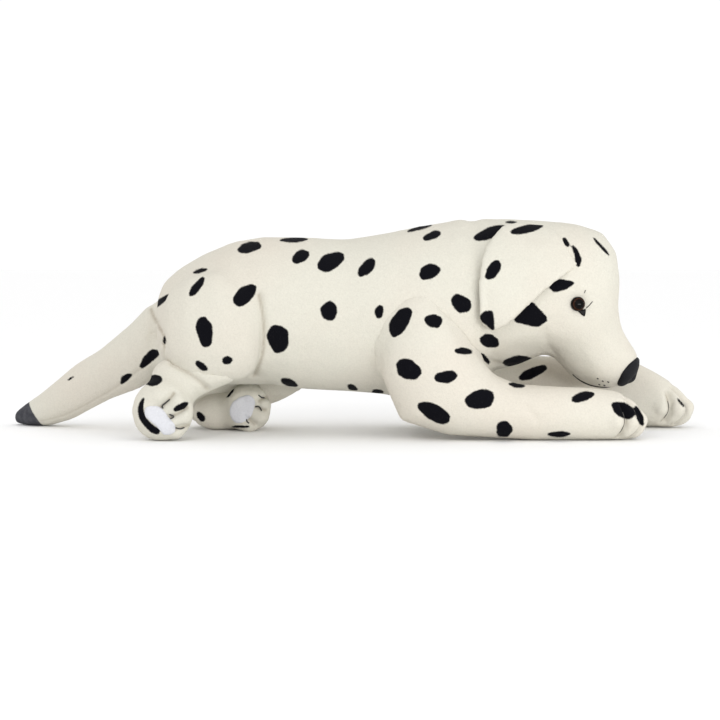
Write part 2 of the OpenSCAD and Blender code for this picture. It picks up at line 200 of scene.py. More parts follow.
def form_mesh(name, node_names, fills=()):
    """One mesh of several nodes' meshes, and of the parts of the hind fillings in a range
    of heights."""
    verts, faces = [], []
    sources = [(nodes[n].data, None) for n in node_names]
    sources += [(nodes[n].data, (low, high)) for n, low, high in fills]
    for data, span in sources:
        co = np.array([v.co[:] for v in data.vertices])
        keep = np.ones(len(co), bool)
        if span:
            label = part_labels(data)
            for value in np.unique(label):
                top = co[label == value, 2].max()
                keep[label == value] = span[0] < top < span[1]
        start = sum(len(v) for v in verts)
        verts.append(co)
        faces += [[i + start for i in p.vertices] for p in data.polygons if keep[p.vertices[0]]]
    return new_object(name, new_mesh(name, np.concatenate(verts), faces))


def grow_skin(name, node_names, voxel, close, fills=(), steps=30):
    """The outer surface of some nodes, with gaps up to twice close bridged."""
    obj = form_mesh(name, node_names, fills)
    remesh(obj, voxel)
    keep_solid_parts(obj)
    swell(obj, close)
    remesh(obj, voxel)
    swell(obj, -close)
    remesh(obj, voxel)
    keep_largest_part(obj)
    relax(obj, steps)
    return obj


class Surface:
    """Nearest points and sideways hits on a finished skin."""

    def __init__(self, obj):
        co = points_of(obj)
        faces = [p.vertices[:] for p in obj.data.polygons]
        self.tree = BVHTree.FromPolygons(co.tolist(), faces)

    def height_over(self, points):
        """How far outside the skin each point is, and the skin's nearest normal."""
        out, normal = np.zeros(len(points)), np.zeros((len(points), 3))
        for i, p in enumerate(points):
            place, n, face, d = self.tree.find_nearest(p)
            out[i] = (Vector(p) - place).dot(n)
            normal[i] = n
        return out, normal

    def seen(self, x, z):
        """Where the skin shows, from the view point, at x, z (in mm) of the plane y = 0."""
        aim = Vector((x * mm, 0, z * mm)) - Vector(VIEW_POINT)
        place, n, face, d = self.tree.ray_cast(Vector(VIEW_POINT), aim.normalized())
        if place is None:
            place, n, face, d = self.tree.find_nearest(Vector((x * mm, 0, z * mm)))
        return np.array(place), np.array(n)

    def from_inside(self, heart, turn, rise):
        """Where a line from a point inside leaves the skin; turned left of forward and
        raised, in degrees."""
        a, e = math.radians(turn), math.radians(rise)
        aim = Vector((math.cos(e) * math.cos(a), math.cos(e) * math.sin(a), math.sin(e)))
        start = Vector(heart) + aim * 0.2
        place, n, face, d = self.tree.ray_cast(start, -aim)
        if place is None:
            place, n, face, d = self.tree.find_nearest(Vector(heart) + aim * 0.03)
        return np.array(place), np.array(n)

    def side_point(self, x, z, side):
        """Where a line along Y at x, z (in mm) first meets the skin from one side."""
        start = Vector((x * mm, side * 1.0, z * mm))
        place, n, face, d = self.tree.ray_cast(start, Vector((0, -side, 0)))
        if place is None:
            place, n, face, d = self.tree.find_nearest(Vector((x * mm, side * 0.04, z * mm)))
        return np.array(place), np.array(n)


def tuck_edge(obj, base, depth):
    """Evens out a skin's open edge and turns it down into base, where it doesn't show."""
    b = bmesh.new()
    b.from_mesh(obj.data)
    for step in range(10):
        middles = []
        for v in b.verts:
            if v.is_boundary:
                ends = [e.other_vert(v).co for e in v.link_edges if e.is_boundary]
                middles.append((v, sum(ends, Vector()) / len(ends)))
        for v, middle in middles:
            v.co = v.co.lerp(middle, 0.5)
    for step in range(2):
        edges = [e for e in b.edges if e.is_boundary]
        made = bmesh.ops.extrude_edge_only(b, edges=edges)["geom"]
        rim = [g for g in made if isinstance(g, bmesh.types.BMVert)]
        out, normal = base.height_over(np.array([v.co for v in rim]))
        for v, n in zip(rim, normal):
            v.co -= Vector(n) * depth / 2
    b.to_mesh(obj.data)
    b.free()


def take_limb(whole, base, name, far_point, margin=1.2 * mm):
    """The part of whole that stands out of base and holds far_point. Its edge sinks into
    base, so that the two run into each other."""
    obj = new_object(name, whole.data.copy())
    co = points_of(obj)
    out, normal = base.height_over(co)
    keep = out > margin
    sink = (1 - ease((out - margin) / (5 * mm))) * 1.6 * mm
    move_points(obj, co - normal * sink[:, None])
    keep_vertices(obj, keep)
    label = part_labels(obj.data)
    near = np.linalg.norm(points_of(obj) - np.array(far_point), axis=1).argmin()
    keep_vertices(obj, label == label[near])
    tuck_edge(obj, base, 9 * mm)
    return obj


def cloth_fill(obj, pressure, cap, pinned):
    """Fills a skin with air pressure; points move no further than cap, and pinned ones, at
    the seams, hardly move."""
    group = obj.vertex_groups.new(name="seams")
    for i in np.flatnonzero(pinned > 0.05):
        group.add([int(i)], float(pinned[i]), "REPLACE")
    start = points_of(obj)
    m = obj.modifiers.new("cloth", "CLOTH")
    m.settings.use_pressure = True
    m.settings.uniform_pressure_force = pressure
    m.settings.vertex_group_mass = "seams"
    m.settings.quality = 4
    m.settings.tension_stiffness = 12
    m.settings.compression_stiffness = 12
    m.settings.bending_stiffness = 0.6
    m.settings.effector_weights.gravity = 0
    m.collision_settings.use_collision = False
    for step in range(1, 15):
        scene.frame_set(step)
    apply_modifiers(obj)
    scene.frame_set(1)
    move = points_of(obj) - start
    length = np.linalg.norm(move, axis=1, keepdims=True)
    limit = cap * np.tanh(length / cap)
    obj.vertex_groups.clear()
    move_points(obj, start + unit(move) * limit)


# ---- Sculpting ----


def bump(obj, centre, radius, height):
    """Raises a soft round bump, or presses a hollow where height is negative; mm."""
    co = points_of(obj)
    d = np.linalg.norm(co - np.array(centre), axis=1) / (radius * mm)
    move_points(obj, co + normals_of(obj) * (ease(1 - d) * height * mm)[:, None])


def distance_to_path(co, path):
    best = np.full(len(co), 1e9)
    for a, b in zip(path[:-1], path[1:]):
        ab = b - a
        t = np.clip((co - a) @ ab / max(ab @ ab, 1e-12), 0, 1)
        best = np.minimum(best, np.linalg.norm(co - a - t[:, None] * ab, axis=1))
    return best


def rounded(path, steps=3):
    """Cuts the corners of a path, so that it runs in a curve."""
    path = [np.array(p, float) for p in path]
    for _ in range(steps):
        cut = [path[0]]
        for a, b in zip(path[:-1], path[1:]):
            cut += [a * 0.75 + b * 0.25, a * 0.25 + b * 0.75]
        path = cut + [path[-1]]
    return path


def groove(obj, path, width, depth):
    """Presses a crease of one depth along a path of points; width and depth in mm."""
    co = points_of(obj)
    d = distance_to_path(co, rounded(path)) / (width * mm)
    press = np.exp(-d * d) * depth * mm
    move_points(obj, co - normals_of(obj) * press[:, None])


def seen_path(surface, places):
    """A curve over places on the plane y = 0, in mm, laid on the skin every few mm."""
    path = np.array(rounded(places, 2))
    along = np.concatenate([[0], np.cumsum(np.linalg.norm(np.diff(path, axis=0), axis=1))])
    stops = np.linspace(0, along[-1], max(int(along[-1] / 4), 2) + 1)
    flat = np.stack([np.interp(stops, along, path[:, k]) for k in (0, 1)], 1)
    return [surface.seen(x, z)[0] for x, z in flat]


# ---- Spots ----

# Where the toy is looked at from; its spots are drawn as they show from here.
VIEW_POINT = np.array([0.011, -2.59, 0.259])

# Each spot: x and z of its middle on the plane y = 0, its width and height before it turns,
# and its turn in degrees, anticlockwise. Millimetres.
BODY_SPOTS = [
    (-121, 222, 29, 13, 10), (-68, 231, 34, 6, 2), (-60, 211, 22, 15, 25), (-24, 205, 36, 19, 25),
    (19, 198, 28, 14, 50), (-26, 146, 19, 25, 0), (-184, 175, 28, 10, 55), (-180, 194, 18, 5, 15),
    (-127, 165, 32, 20, 38), (-175, 121, 20, 37, 5), (-148, 87, 12, 11, 0), (-179, 80, 17, 9, -35),
    (-74, 60, 22, 9, -20), (2, 54, 14, 7, -25), (32, 49, 14, 7, 0), (-223, 111, 4, 10, 0),
    (34, 145, 10, 17, -10), (59, 133, 38, 22, 60), (99, 134, 21, 17, 0), (94, 193, 25, 19, 18),
    (97, 236, 22, 10, 20), (82, 245, 30, 5, 15), (132, 155, 27, 19, -45), (135, 98, 22, 8, -6),
    (69, 76, 33, 23, -20), (114, 67, 27, 16, 5), (155, 40, 34, 25, 15), (100, 24, 43, 20, -25),
    (184, 4, 21, 19, 0), (250, -2, 28, 7, 0), (278, 43, 28, 12, 14), (199, 57, 20, 6, -10),
    (327, 27, 32, 17, -28), (346, 20, 8, 26, 20), (352, 2, 5, 16, 12), (-87, 113, 27, 33, 0),
    (-228, 157, 30, 7, 35), (161, 89, 18, 5, -50),
]
HEAD_SPOTS = [
    (166, 110, 25, 15, -20), (161, 89, 18, 5, -50), (200, 86, 37, 12, 5),
    (166, 239, 40, 14, 18), (191, 252, 14, 3, 0), (299, 223, 28, 4, -48), (257, 228, 13, 6, -55),
]
# Spots that aren't round, by their corners
CHEEK_SPOTS = [
    [(216, 158), (236, 136), (224, 127), (194, 134), (206, 146)],
    [(236, 175), (248, 184), (268, 180), (256, 172), (244, 169)],
    [(264, 225), (270, 219), (275, 208), (273, 199), (269, 202), (268, 212)],
]
HEM_SPOTS = [(-228, 157, 30, 7, 35), (-336, 65, 9, 2, 30)]
HEM_SHAPES = [
    [(-254, 76), (-248, 90), (-238, 100), (-230, 98), (-228, 96), (-236, 88), (-245, 81)],
    [(-276, 58), (-274, 67), (-268, 70), (-262, 70), (-268, 63)],
]
EAR_SPOTS = [(170, 195, 26, 15, 52), (210, 244, 40, 10, 14)]
EAR_SHAPES = [[(153, 137), (160, 145), (169, 146), (171, 134), (171, 123), (163, 129)]]
HOCK_SPOTS = [(-238, 63, 24, 14, 8), (-204, 31, 20, 8, 25)]
HEEL_BAND = [(-248, 42), (-253, 35), (-255, 27), (-254, 19), (-250, 12), (-244, 5), (-239, 0),
             (-232, -2), (-229, 3), (-236, 7), (-242, 12), (-247, 18), (-249, 25), (-250, 32)]
FAR_FOOT_SPOTS = [(-147, 50, 17, 12, 50), (-180, 19, 14, 8, -50), (-132, 7, 22, 3, 0)]
FAR_PAW_SPOTS = [(396, 36, 14, 3, -50), (218, 72, 36, 13, 22)]


def seen_flat(co):
    """The points as they show from the view point, as x and z on the plane y = 0 in mm."""
    t = -VIEW_POINT[1] / (co[:, 1] - VIEW_POINT[1])
    flat = VIEW_POINT + (co - VIEW_POINT) * t[:, None]
    return flat[:, [0, 2]] / mm


def oval_distance(u, v, a, b):
    k = np.sqrt((u / a) ** 2 + (v / b) ** 2) + 1e-6
    return k * (k - 1) / (np.sqrt((u / a ** 2) ** 2 + (v / b ** 2) ** 2) + 1e-6)


def waver(angle, rng, size):
    """A smooth random wobble round a spot's edge."""
    return sum(size / k * np.sin(k * angle + rng.uniform(0, 6.28)) for k in (2, 3, 5, 8))


def corner_distance(flat, corners):
    """Signed distance to a shape with corners, in mm; negative inside."""
    near, inside = np.full(len(flat), 1e9), np.zeros(len(flat), bool)
    for a, b in zip(corners, corners[1:] + corners[:1]):
        a, b = np.array(a, float), np.array(b, float)
        ab, ap = b - a, flat - a
        t = np.clip(ap @ ab / (ab @ ab), 0, 1)
        near = np.minimum(near, np.linalg.norm(ap - t[:, None] * ab, axis=1))
        over = (a[1] > flat[:, 1]) != (b[1] > flat[:, 1])
        rise = ab[1] if abs(ab[1]) > 1e-9 else 1e-9
        inside ^= over & (flat[:, 0] < a[0] + ab[0] * (flat[:, 1] - a[1]) / rise)
    return np.where(inside, -near, near) - 1


def softened(corners):
    """A closed shape with its corners cut a little."""
    cut = []
    for a, b in zip(corners, corners[1:] + corners[:1]):
        cut += [(a[0] + (b[0] - a[0]) * t, a[1] + (b[1] - a[1]) * t) for t in (0.14, 0.86)]
    return cut


def seen_spots(co, no, ovals, shapes, seed, surface):
    """How far each point is from the nearest spot that shows. A spot over the ridge of the
    back ends at its own size, measured on the skin."""
    rng = np.random.default_rng(seed)
    flat = seen_flat(co)
    best = np.full(len(co), 99.0)

    def beyond(x, z, size):
        middle = surface.seen(x, z)[0]
        return np.linalg.norm(co - middle, axis=1) / mm - (4 + 0.62 * size)

    for x, z, w, h, turn in ovals:
        c, s = math.cos(math.radians(turn)), math.sin(math.radians(turn))
        dx, dz = flat[:, 0] - x, flat[:, 1] - z
        u, v = dx * c + dz * s, dz * c - dx * s
        d = oval_distance(u, v, w / 2, h / 2)
        d += waver(np.arctan2(v * w, u * h), rng, min(w, h) * 0.07)
        best = np.minimum(best, np.maximum(d, beyond(x, z, max(w, h))))
    for shape in shapes:
        size = np.ptp(shape, axis=0).max()
        d = corner_distance(flat, softened(shape))
        best = np.minimum(best, np.maximum(d, beyond(*np.mean(shape, axis=0), size)))
    facing = (unit(VIEW_POINT - co) * no).sum(1)
    return np.maximum(best, (-0.16 - facing) * 220)


class HiddenSpots:
    """Spots on the sides that don't show from the view point, spread evenly."""

    def __init__(self, skins, seed, spacing=0.058):
        rng = np.random.default_rng(seed)
        co = np.concatenate([points_of(o) for o in skins])
        no = np.concatenate([normals_of(o) for o in skins])
        facing = (unit(VIEW_POINT - co) * no).sum(1)
        allowed = np.flatnonzero((facing < -0.25) & (no[:, 2] > -0.45) & (co[:, 2] > 0.012))
        self.spots = []
        for i in rng.permutation(allowed)[:6000]:
            gap = spacing * rng.uniform(0.8, 1.25)
            if all(np.linalg.norm(co[i] - s[0]) > gap for s in self.spots):
                along = unit(np.cross(no[i], unit(rng.normal(size=3))))
                self.spots.append((co[i], no[i], along, rng.uniform(8, 15),
                                   rng.uniform(0.6, 0.95), int(rng.integers(1 << 30))))
        # The muzzle, from its bridge to the nose, stays plain.
        self.spots = [s for s in self.spots
                      if s[0][0] < 0.285 or abs(s[0][1]) > 0.05 or s[0][2] < 0.04]

    def distance(self, co, no):
        best = np.full(len(co), 99.0)
        showing = ((unit(VIEW_POINT - co) * no).sum(1) + 0.12) * 220
        for centre, normal, along, radius, ratio, seed in self.spots:
            near = np.flatnonzero(np.linalg.norm(co - centre, axis=1) < 3 * radius * mm)
            d = (co[near] - centre) / mm
            u, v = d @ along, d @ np.cross(normal, along)
            wobble = waver(np.arctan2(v, u), np.random.default_rng(seed), radius * 0.12)
            oval = oval_distance(u, v, radius, radius * ratio) + wobble
            turned = no[near] @ normal < 0.2
            best[near] = np.minimum(best[near], np.where(turned, 99, oval))
        return np.maximum(best, showing)


def store(obj, name, values):
    attribute = obj.data.attributes.new(name, "FLOAT", "POINT")
    attribute.data.foreach_set("value", np.asarray(values, np.float32))


def paint_spots(obj, ovals, shapes, hidden, seed, dark=None, painted_creases=()):
    """Stores how far each point is from the nearest spot's edge, negative inside it, and how
    far it is inside the dark part, if it has one, in mm; and how much painted shade it gets
    from a nearby crease."""
    co, no = points_of(obj), normals_of(obj)
    d = seen_spots(co, no, ovals, shapes, seed, Surface(obj))
    if hidden:
        d = np.minimum(d, hidden.distance(co, no))
    store(obj, "spot", np.clip(d, -20, 20))
    store(obj, "dark", np.full(len(co), -20.0) if dark is None else np.clip(dark, -20, 20))
    # Painted shade: a darkening that fades with distance from each crease or seam
    shade = np.zeros(len(co))
    for path, width, strength in painted_creases:
        away = distance_to_path(co, path) / (width * mm)
        shade = np.maximum(shade, strength * np.exp(-away ** 2))
    store(obj, "crease", shade)


# ---- Materials ----


class Nodes:
    """Short calls for the few node types that the materials use."""

    def __init__(self, name):
        self.material = bpy.data.materials.new(name)
        self.material.use_nodes = True
        self.tree = self.material.node_tree
        self.shader = self.tree.nodes["Principled BSDF"]

    def add(self, kind, **settings):
        node = self.tree.nodes.new(kind)
        for key, value in settings.items():
            setattr(node, key, value)
        return node

    def link(self, source, target):
        self.tree.links.new(source, target)

    def set(self, **values):
        for key, value in values.items():
            self.shader.inputs[key.replace("_", " ")].default_value = value

    def noise(self, scale, detail=2.0, coords=None):
        node = self.add("ShaderNodeTexNoise")
        node.inputs["Scale"].default_value = scale
        node.inputs["Detail"].default_value = detail
        if coords is None:
            coords = self.add("ShaderNodeTexCoord").outputs["Object"]
        self.link(coords, node.inputs["Vector"])
        return node.outputs["Fac"]

    def math(self, operation, a, b):
        node = self.add("ShaderNodeMath", operation=operation)
        for socket, value in zip(node.inputs, (a, b)):
            if isinstance(value, (int, float)):
                socket.default_value = value
            else:
                self.link(value, socket)
        return node.outputs[0]

    def ramp(self, factor, *stops):
        node = self.add("ShaderNodeValToRGB")
        while len(node.color_ramp.elements) < len(stops):
            node.color_ramp.elements.new(0.5)
        for element, (place, colour) in zip(node.color_ramp.elements, stops):
            element.position = place
            element.color = (*colour, 1)
        self.link(factor, node.inputs["Fac"])
        return node.outputs["Color"]

    def blend(self, factor, a, b, kind="MIX"):
        node = self.add("ShaderNodeMix", data_type="RGBA", blend_type=kind)
        for socket, value in zip((node.inputs[0], node.inputs[6], node.inputs[7]),
                                 (factor, a, b)):
            if isinstance(value, (int, float)):
                socket.default_value = value
            elif isinstance(value, tuple):
                socket.default_value = (*value, 1)
            else:
                self.link(value, socket)
        return node.outputs[2]

    def bump(self, height, distance, strength=1.0, under=None):
        node = self.add("ShaderNodeBump")
        node.inputs["Distance"].default_value = distance
        node.inputs["Strength"].default_value = strength
        self.link(height, node.inputs["Height"])
        if under is not None:
            self.link(under, node.inputs["Normal"])
        return node.outputs["Normal"]


IVORY = (0.665, 0.645, 0.565)
CREAM = (0.675, 0.632, 0.552)
COOL = (0.685, 0.69, 0.725)
# Painted shade: a brown that darkens the plush along its creases and seams
CREASE_SHADE = (0.36, 0.29, 0.21)
BLACK = (0.004, 0.004, 0.006)
CHARCOAL = (0.052, 0.053, 0.062)


def pile_bump(n, strength=1.0):
    """Fine fibre tips over slow waves in the nap."""
    fibres = n.bump(n.noise(900, 1), 0.7 * mm, 0.7 * strength)
    clumps = n.bump(n.noise(230, 3), 1.0 * mm, 0.5 * strength, fibres)
    return n.bump(n.noise(38, 2), 2.0 * mm, 0.5 * strength, clumps)


def edge_step(n, attribute, sign):
    """1 where an attribute times sign is below 0, with an edge of fibres of mixed lengths."""
    edge = n.add("ShaderNodeAttribute", attribute_name=attribute).outputs["Fac"]
    fibres = n.math("MULTIPLY", n.math("SUBTRACT", n.noise(950, 2), 0.5), 2.2)
    wander = n.math("MULTIPLY", n.math("SUBTRACT", n.noise(170, 2), 0.5), 1.6)
    d = n.math("ADD", n.math("MULTIPLY", edge, sign), n.math("ADD", fibres, wander))
    step = n.add("ShaderNodeMapRange")
    step.inputs["From Min"].default_value = 0.7
    step.inputs["From Max"].default_value = -0.7
    n.link(d, step.inputs["Value"])
    return step.outputs[0]


def plush_material(name, light=IVORY, warm=CREAM, spotted=True, tip_dark=0.94):
    n = Nodes(name)
    tint = n.ramp(n.noise(7, 2), (0.38, light), (0.66, warm))
    fleck = n.ramp(n.noise(500, 2), (0.3, (tip_dark,) * 3), (0.62, (1, 1, 1)))
    colour = n.blend(1.0, tint, fleck, "MULTIPLY")
    if spotted:
        colour = n.blend(edge_step(n, "spot", 1), colour, BLACK)
        tip = n.ramp(n.noise(160, 2), (0.35, CHARCOAL), (0.7, (0.085, 0.085, 0.095)))
        colour = n.blend(edge_step(n, "dark", -1), colour, tip)
        # Painted shade: the "crease" attribute darkens the colour towards a brown along creases and
        # seams
        crease = n.add("ShaderNodeAttribute", attribute_name="crease").outputs["Fac"]
        colour = n.blend(crease, colour, n.blend(1.0, colour, CREASE_SHADE, "MULTIPLY"))
    n.link(colour, n.shader.inputs["Base Color"])
    n.link(pile_bump(n), n.shader.inputs["Normal"])
    n.set(Roughness=0.95, Sheen_Weight=0.015, Sheen_Roughness=0.45)
    n.shader.inputs["Specular IOR Level"].default_value = 0.07
    return n.material


def fibre_material(name, colour, dark, scale, bump, rough=0.9, sheen=0.1):
    """A plain fabric, thread or filling with a mottled tint."""
    n = Nodes(name)
    n.link(n.ramp(n.noise(scale, 3), (0.3, dark), (0.7, colour)), n.shader.inputs["Base Color"])
    n.link(n.bump(n.noise(scale * 1.7, 2), bump * mm), n.shader.inputs["Normal"])
    n.set(Roughness=rough, Sheen_Weight=sheen)
    n.shader.inputs["Specular IOR Level"].default_value = 0.25
    return n.material


def gloss_material(name, colour, dark, rough, specular):
    n = Nodes(name)
    n.link(n.ramp(n.noise(120, 2), (0.35, dark), (0.65, colour)), n.shader.inputs["Base Color"])
    n.link(n.bump(n.noise(60, 1), 0.05 * mm), n.shader.inputs["Normal"])
    n.set(Roughness=rough)
    n.shader.inputs["Specular IOR Level"].default_value = specular
    return n.material


plush = plush_material("spotted_plush")
plain_plush = plush_material("plain_plush", CREAM, (0.77, 0.69, 0.61), spotted=False)
dark_plush = plush_material("dark_plush", CHARCOAL, (0.075, 0.075, 0.085), spotted=False,
                            tip_dark=0.6)
sole_plush = plush_material("sole_plush", COOL, (0.67, 0.67, 0.715), spotted=False)
nose_flock = fibre_material("nose_flock", (0.007, 0.007, 0.010), (0.003, 0.003, 0.004), 500, 0.4,
                            0.75, 0.0)
black_thread = fibre_material("black_thread", (0.02, 0.018, 0.018), (0.006, 0.006, 0.006),
                              900, 0.2, 0.6)
grey_thread = fibre_material("grey_thread", (0.10, 0.095, 0.09), (0.03, 0.03, 0.03), 900, 0.2, 0.7)
filling = fibre_material("filling", (0.85, 0.85, 0.85), (0.7, 0.7, 0.7), 90, 2.0)
washer_plastic = gloss_material("washer_plastic", (0.72, 0.72, 0.69), (0.66, 0.66, 0.63), 0.45, 0.4)
corner_leather = gloss_material("corner_leather", (0.006, 0.006, 0.006), (0.003, 0.003, 0.003),
                                0.4, 0.12)


def dress(obj, material):
    obj.data.materials.clear()
    obj.data.materials.append(material)

# ---- Trunk and limbs ----

TORSO_NODES = ["torso_right_panel", "torso_left_panel", "belly_panel", "torso_stuffing"]
HEAD_NODES = ["head_right_panel", "head_left_panel", "head_top_panel", "chin_panel",
              "head_stuffing"]
THIGH_NODES = ["right_thigh_panel", "left_thigh_panel"]
FORELEG_NODES = [f"{side}_foreleg_{piece}" for side in ("right", "left")
                 for piece in ("outer", "inner", "stuffing")]
TAIL_NODES = ["tail_upper_panel", "tail_under_panel", "tail_tip_panel", "tail_stuffing"]
HIND_FILLINGS = ["right_hind_stuffing", "left_hind_stuffing"]
THIGH_TOP = 0.12


def plug(node):
    """Fills the room round a washer in the head."""
    low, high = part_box(node)
    data = bpy.data.meshes.new("plug")
    b = bmesh.new()
    bmesh.ops.create_icosphere(b, subdivisions=3, radius=11.5 * mm)
    bmesh.ops.translate(b, verts=b.verts, vec=(low + high) / 2)
    b.to_mesh(data)
    b.free()
    return data


def mirrored(places, side):
    """Points given for the right side, on the side that is asked for. Y is in front of the
    spine's own line, which is 4 mm left of the middle."""
    return [(x, 4 + (y - 4) * -side, z) for x, y, z in places]


nodes["plug"] = new_object("plug", plug("nose_washer"))
trunk = grow_skin("trunk_skin", TORSO_NODES + HEAD_NODES + THIGH_NODES + ["plug"], 4.5 * mm,
                  9 * mm, [(n, THIGH_TOP, 1) for n in HIND_FILLINGS], steps=36)
bpy.data.objects.remove(nodes.pop("plug"))

cloth_fill(trunk, 3.0, 5 * mm, np.zeros(len(trunk.data.vertices)))
subdivide(trunk)

# The head's own middle line, in metres
HEAD_MIDDLE = -1 * mm


def across_head(point):
    return np.array([point[0], 2 * HEAD_MIDDLE - point[1], point[2]])


# Soft forms of the face and neck: x and z on the plane y = 0, radius and height, all in mm
FACE_FORMS = [
    (273, 154, 25, -3.0), (277, 170, 15, 2.4), (262, 147, 12, 1.2), (300, 68, 24, 2.6),
    (250, 118, 34, 3.0), (318, 118, 22, -1.2), (205, 98, 26, -2.0),
]
# Creases: their places on the plane y = 0, width and depth, all in mm
THIGH_CREASE = [(-110, 165), (-105, 142), (-104, 119), (-105, 97), (-109, 83), (-116, 68)]
TAIL_CREASE = [(-239, 147), (-233, 132), (-223, 117), (-223, 109), (-228, 96)]
TAIL_SEAM = [(-231, 92), (-241, 85), (-254, 76), (-277, 57), (-310, 38), (-344, 20),
             (-372, 14)]
TAIL_FOLD = [(-239, 148), (-236, 140), (-231, 130), (-226, 122)]
NECK_CREASES = [[(150, 92), (168, 84), (190, 80)], [(232, 122), (236, 104), (250, 88)]]
MOUTH = [(322, 58), (306, 54.5), (296, 55.5), (287, 57), (276, 62), (266, 70)]


def sculpt_trunk():
    """Presses and raises the forms, and returns the creases along which shade is painted."""
    plain = Surface(trunk)
    bump(trunk, (0.143, HEAD_MIDDLE, 0.252), 34, 2.8)
    for x, z, radius, height in FACE_FORMS:
        place = plain.seen(x, z)[0]
        bump(trunk, place, radius, height)
        bump(trunk, across_head(place), radius, height)
    groove(trunk, seen_path(plain, THIGH_CREASE), 4, 4.0)
    groove(trunk, seen_path(plain, TAIL_CREASE), 5, 3.0)
    for crease in NECK_CREASES:
        groove(trunk, seen_path(plain, crease), 5, 1.6)
    mouth = seen_path(plain, MOUTH)
    groove(trunk, mouth, 2.6, 1.4)
    groove(trunk, [across_head(p) for p in mouth], 2.6, 1.4)
    shaped = Surface(trunk)
    return [(seen_path(shaped, THIGH_CREASE), 1.9, 0.45),
            (seen_path(shaped, TAIL_CREASE), 2.2, 0.5)]


trunk_painted_creases = sculpt_trunk()
base = Surface(trunk)
whole = grow_skin("whole", TORSO_NODES + THIGH_NODES + FORELEG_NODES, 4 * mm, 7 * mm,
                  [(n, THIGH_TOP, 1) for n in HIND_FILLINGS], steps=30)
cloth_fill(whole, 3.0, 5 * mm, np.zeros(len(whole.data.vertices)))
forelegs = {RIGHT: take_limb(whole, base, "right_foreleg_skin", (0.3, -0.08, 0.03)),
            LEFT: take_limb(whole, base, "left_foreleg_skin", (0.36, 0.08, 0.03))}
bpy.data.objects.remove(whole)
rear = grow_skin("rear", TORSO_NODES + TAIL_NODES, 4 * mm, 4 * mm, steps=24)
cloth_fill(rear, 3.0, 4 * mm, np.zeros(len(rear.data.vertices)))
tail = take_limb(rear, base, "tail_skin", (-0.35, 0.07, 0.03), margin=0.4 * mm)
bpy.data.objects.remove(rear)
hinds = {}
for side, word in ((RIGHT, "right"), (LEFT, "left")):
    hind = grow_skin(f"{word}_hind_skin", [f"{word}_shank_panel", f"{word}_foot_panel"],
                     3.5 * mm, 4 * mm, [(f"{word}_hind_stuffing", 0, THIGH_TOP)], steps=30)
    cloth_fill(hind, 3.0, 3 * mm, np.zeros(len(hind.data.vertices)))
    hinds[side] = hind
for limb in [*forelegs.values(), tail, *hinds.values()]:
    subdivide(limb)


def taper_tail():
    """Fills out the middle of the tail and flattens it towards its tip, which keeps lying on
    the floor."""
    co = points_of(tail)
    middle = np.exp(-((co[:, 0] + 0.338) / 0.045) ** 2)
    near_tip = ease((-0.335 - co[:, 0]) / 0.085)
    co[:, 2] *= 1 - 0.22 * near_tip + 0.06 * middle
    move_points(tail, co)


taper_tail()

# Seams between the toes of a forepaw: how far each is turned from forward, and the heights
# that it runs over, in degrees
TOE_SEAMS = [(-57, 38, -38), (-29, 50, -34), (-2, 52, -34), (26, 48, -34)]
TOE_TURNS = (-74, -43, -15, 12, 42)
PAW_HEARTS = {RIGHT: (0.298, -0.078, 0.021), LEFT: (0.372, 0.064, 0.023)}
# Creases between the toes of the hind feet and folds of the hocks, on the plane y = 0, in mm
FOOT_CREASES = {RIGHT: [[(-212, 47), (-219, 38), (-229, 30)], [(-196, 30), (-206, 23), (-219, 18)],
                        [(-194, 9), (-201, 7), (-210, 4)]],
                LEFT: [[(-101, 43), (-105, 42), (-110, 38)], [(-102, 27), (-107, 28), (-114, 31)],
                       [(-116, 10), (-121, 15), (-126, 18)]]}
HOCK_CREASE = [(-215, 84), (-203, 77), (-190, 69), (-180, 61), (-172, 52)]
WRIST_CREASE = [(210, 32), (216, 24), (223, 16)]
TOE_BUMPS = {RIGHT: [(-232, 46), (-206, 38), (-195, 18), (-208, -3)],
             LEFT: [(-118, 44), (-100, 35), (-104, 16), (-122, 4)]}


def seam_path(surface, side, turn, high, low):
    """The run of a seam between two toes over the front of a forepaw."""
    heart = PAW_HEARTS[side]
    return [surface.from_inside(heart, turn, rise)[0] for rise in np.linspace(high, low, 7)]


def sculpt_paws():
    """Parts the toes and folds the hocks, the wrist and the tail."""
    for side, leg in forelegs.items():
        plain = Surface(leg)
        for seam in TOE_SEAMS:
            groove(leg, seam_path(plain, side, *seam), 4.0, 6.0)
        for turn in TOE_TURNS:
            bump(leg, plain.from_inside(PAW_HEARTS[side], turn, 4)[0], 13, 3.5)
    for side, hind in hinds.items():
        plain = Surface(hind)
        for crease in FOOT_CREASES[side]:
            groove(hind, seen_path(plain, crease), 4.0, 4.5)
        for x, z in TOE_BUMPS[side]:
            bump(hind, plain.seen(x, z)[0], 13, 2.8)
    groove(forelegs[RIGHT], seen_path(Surface(forelegs[RIGHT]), WRIST_CREASE), 5, 1.8)
    groove(hinds[RIGHT], seen_path(Surface(hinds[RIGHT]), HOCK_CREASE), 4, 3.5)
    groove(tail, seen_path(Surface(tail), TAIL_SEAM), 3, 0.8)
    groove(tail, seen_path(Surface(tail), TAIL_FOLD), 4, 2.5)


def limb_painted_creases():
    """The creases along which shade is painted on each limb, on its finished form."""
    painted_creases = {tail: [(seen_path(Surface(tail), TAIL_SEAM), 1.5, 0.2),
                      (seen_path(Surface(tail), TAIL_FOLD), 2.0, 0.45)]}
    for side in (RIGHT, LEFT):
        leg, hind = Surface(forelegs[side]), Surface(hinds[side])
        painted_creases[forelegs[side]] = [(seam_path(leg, side, *seam), 1.8, 0.55) for seam in TOE_SEAMS]
        painted_creases[hinds[side]] = [(seen_path(hind, c), 1.8, 0.5) for c in FOOT_CREASES[side]]
    painted_creases[hinds[RIGHT]].append((seen_path(Surface(hinds[RIGHT]), HOCK_CREASE), 2.2, 0.35))
    return painted_creases


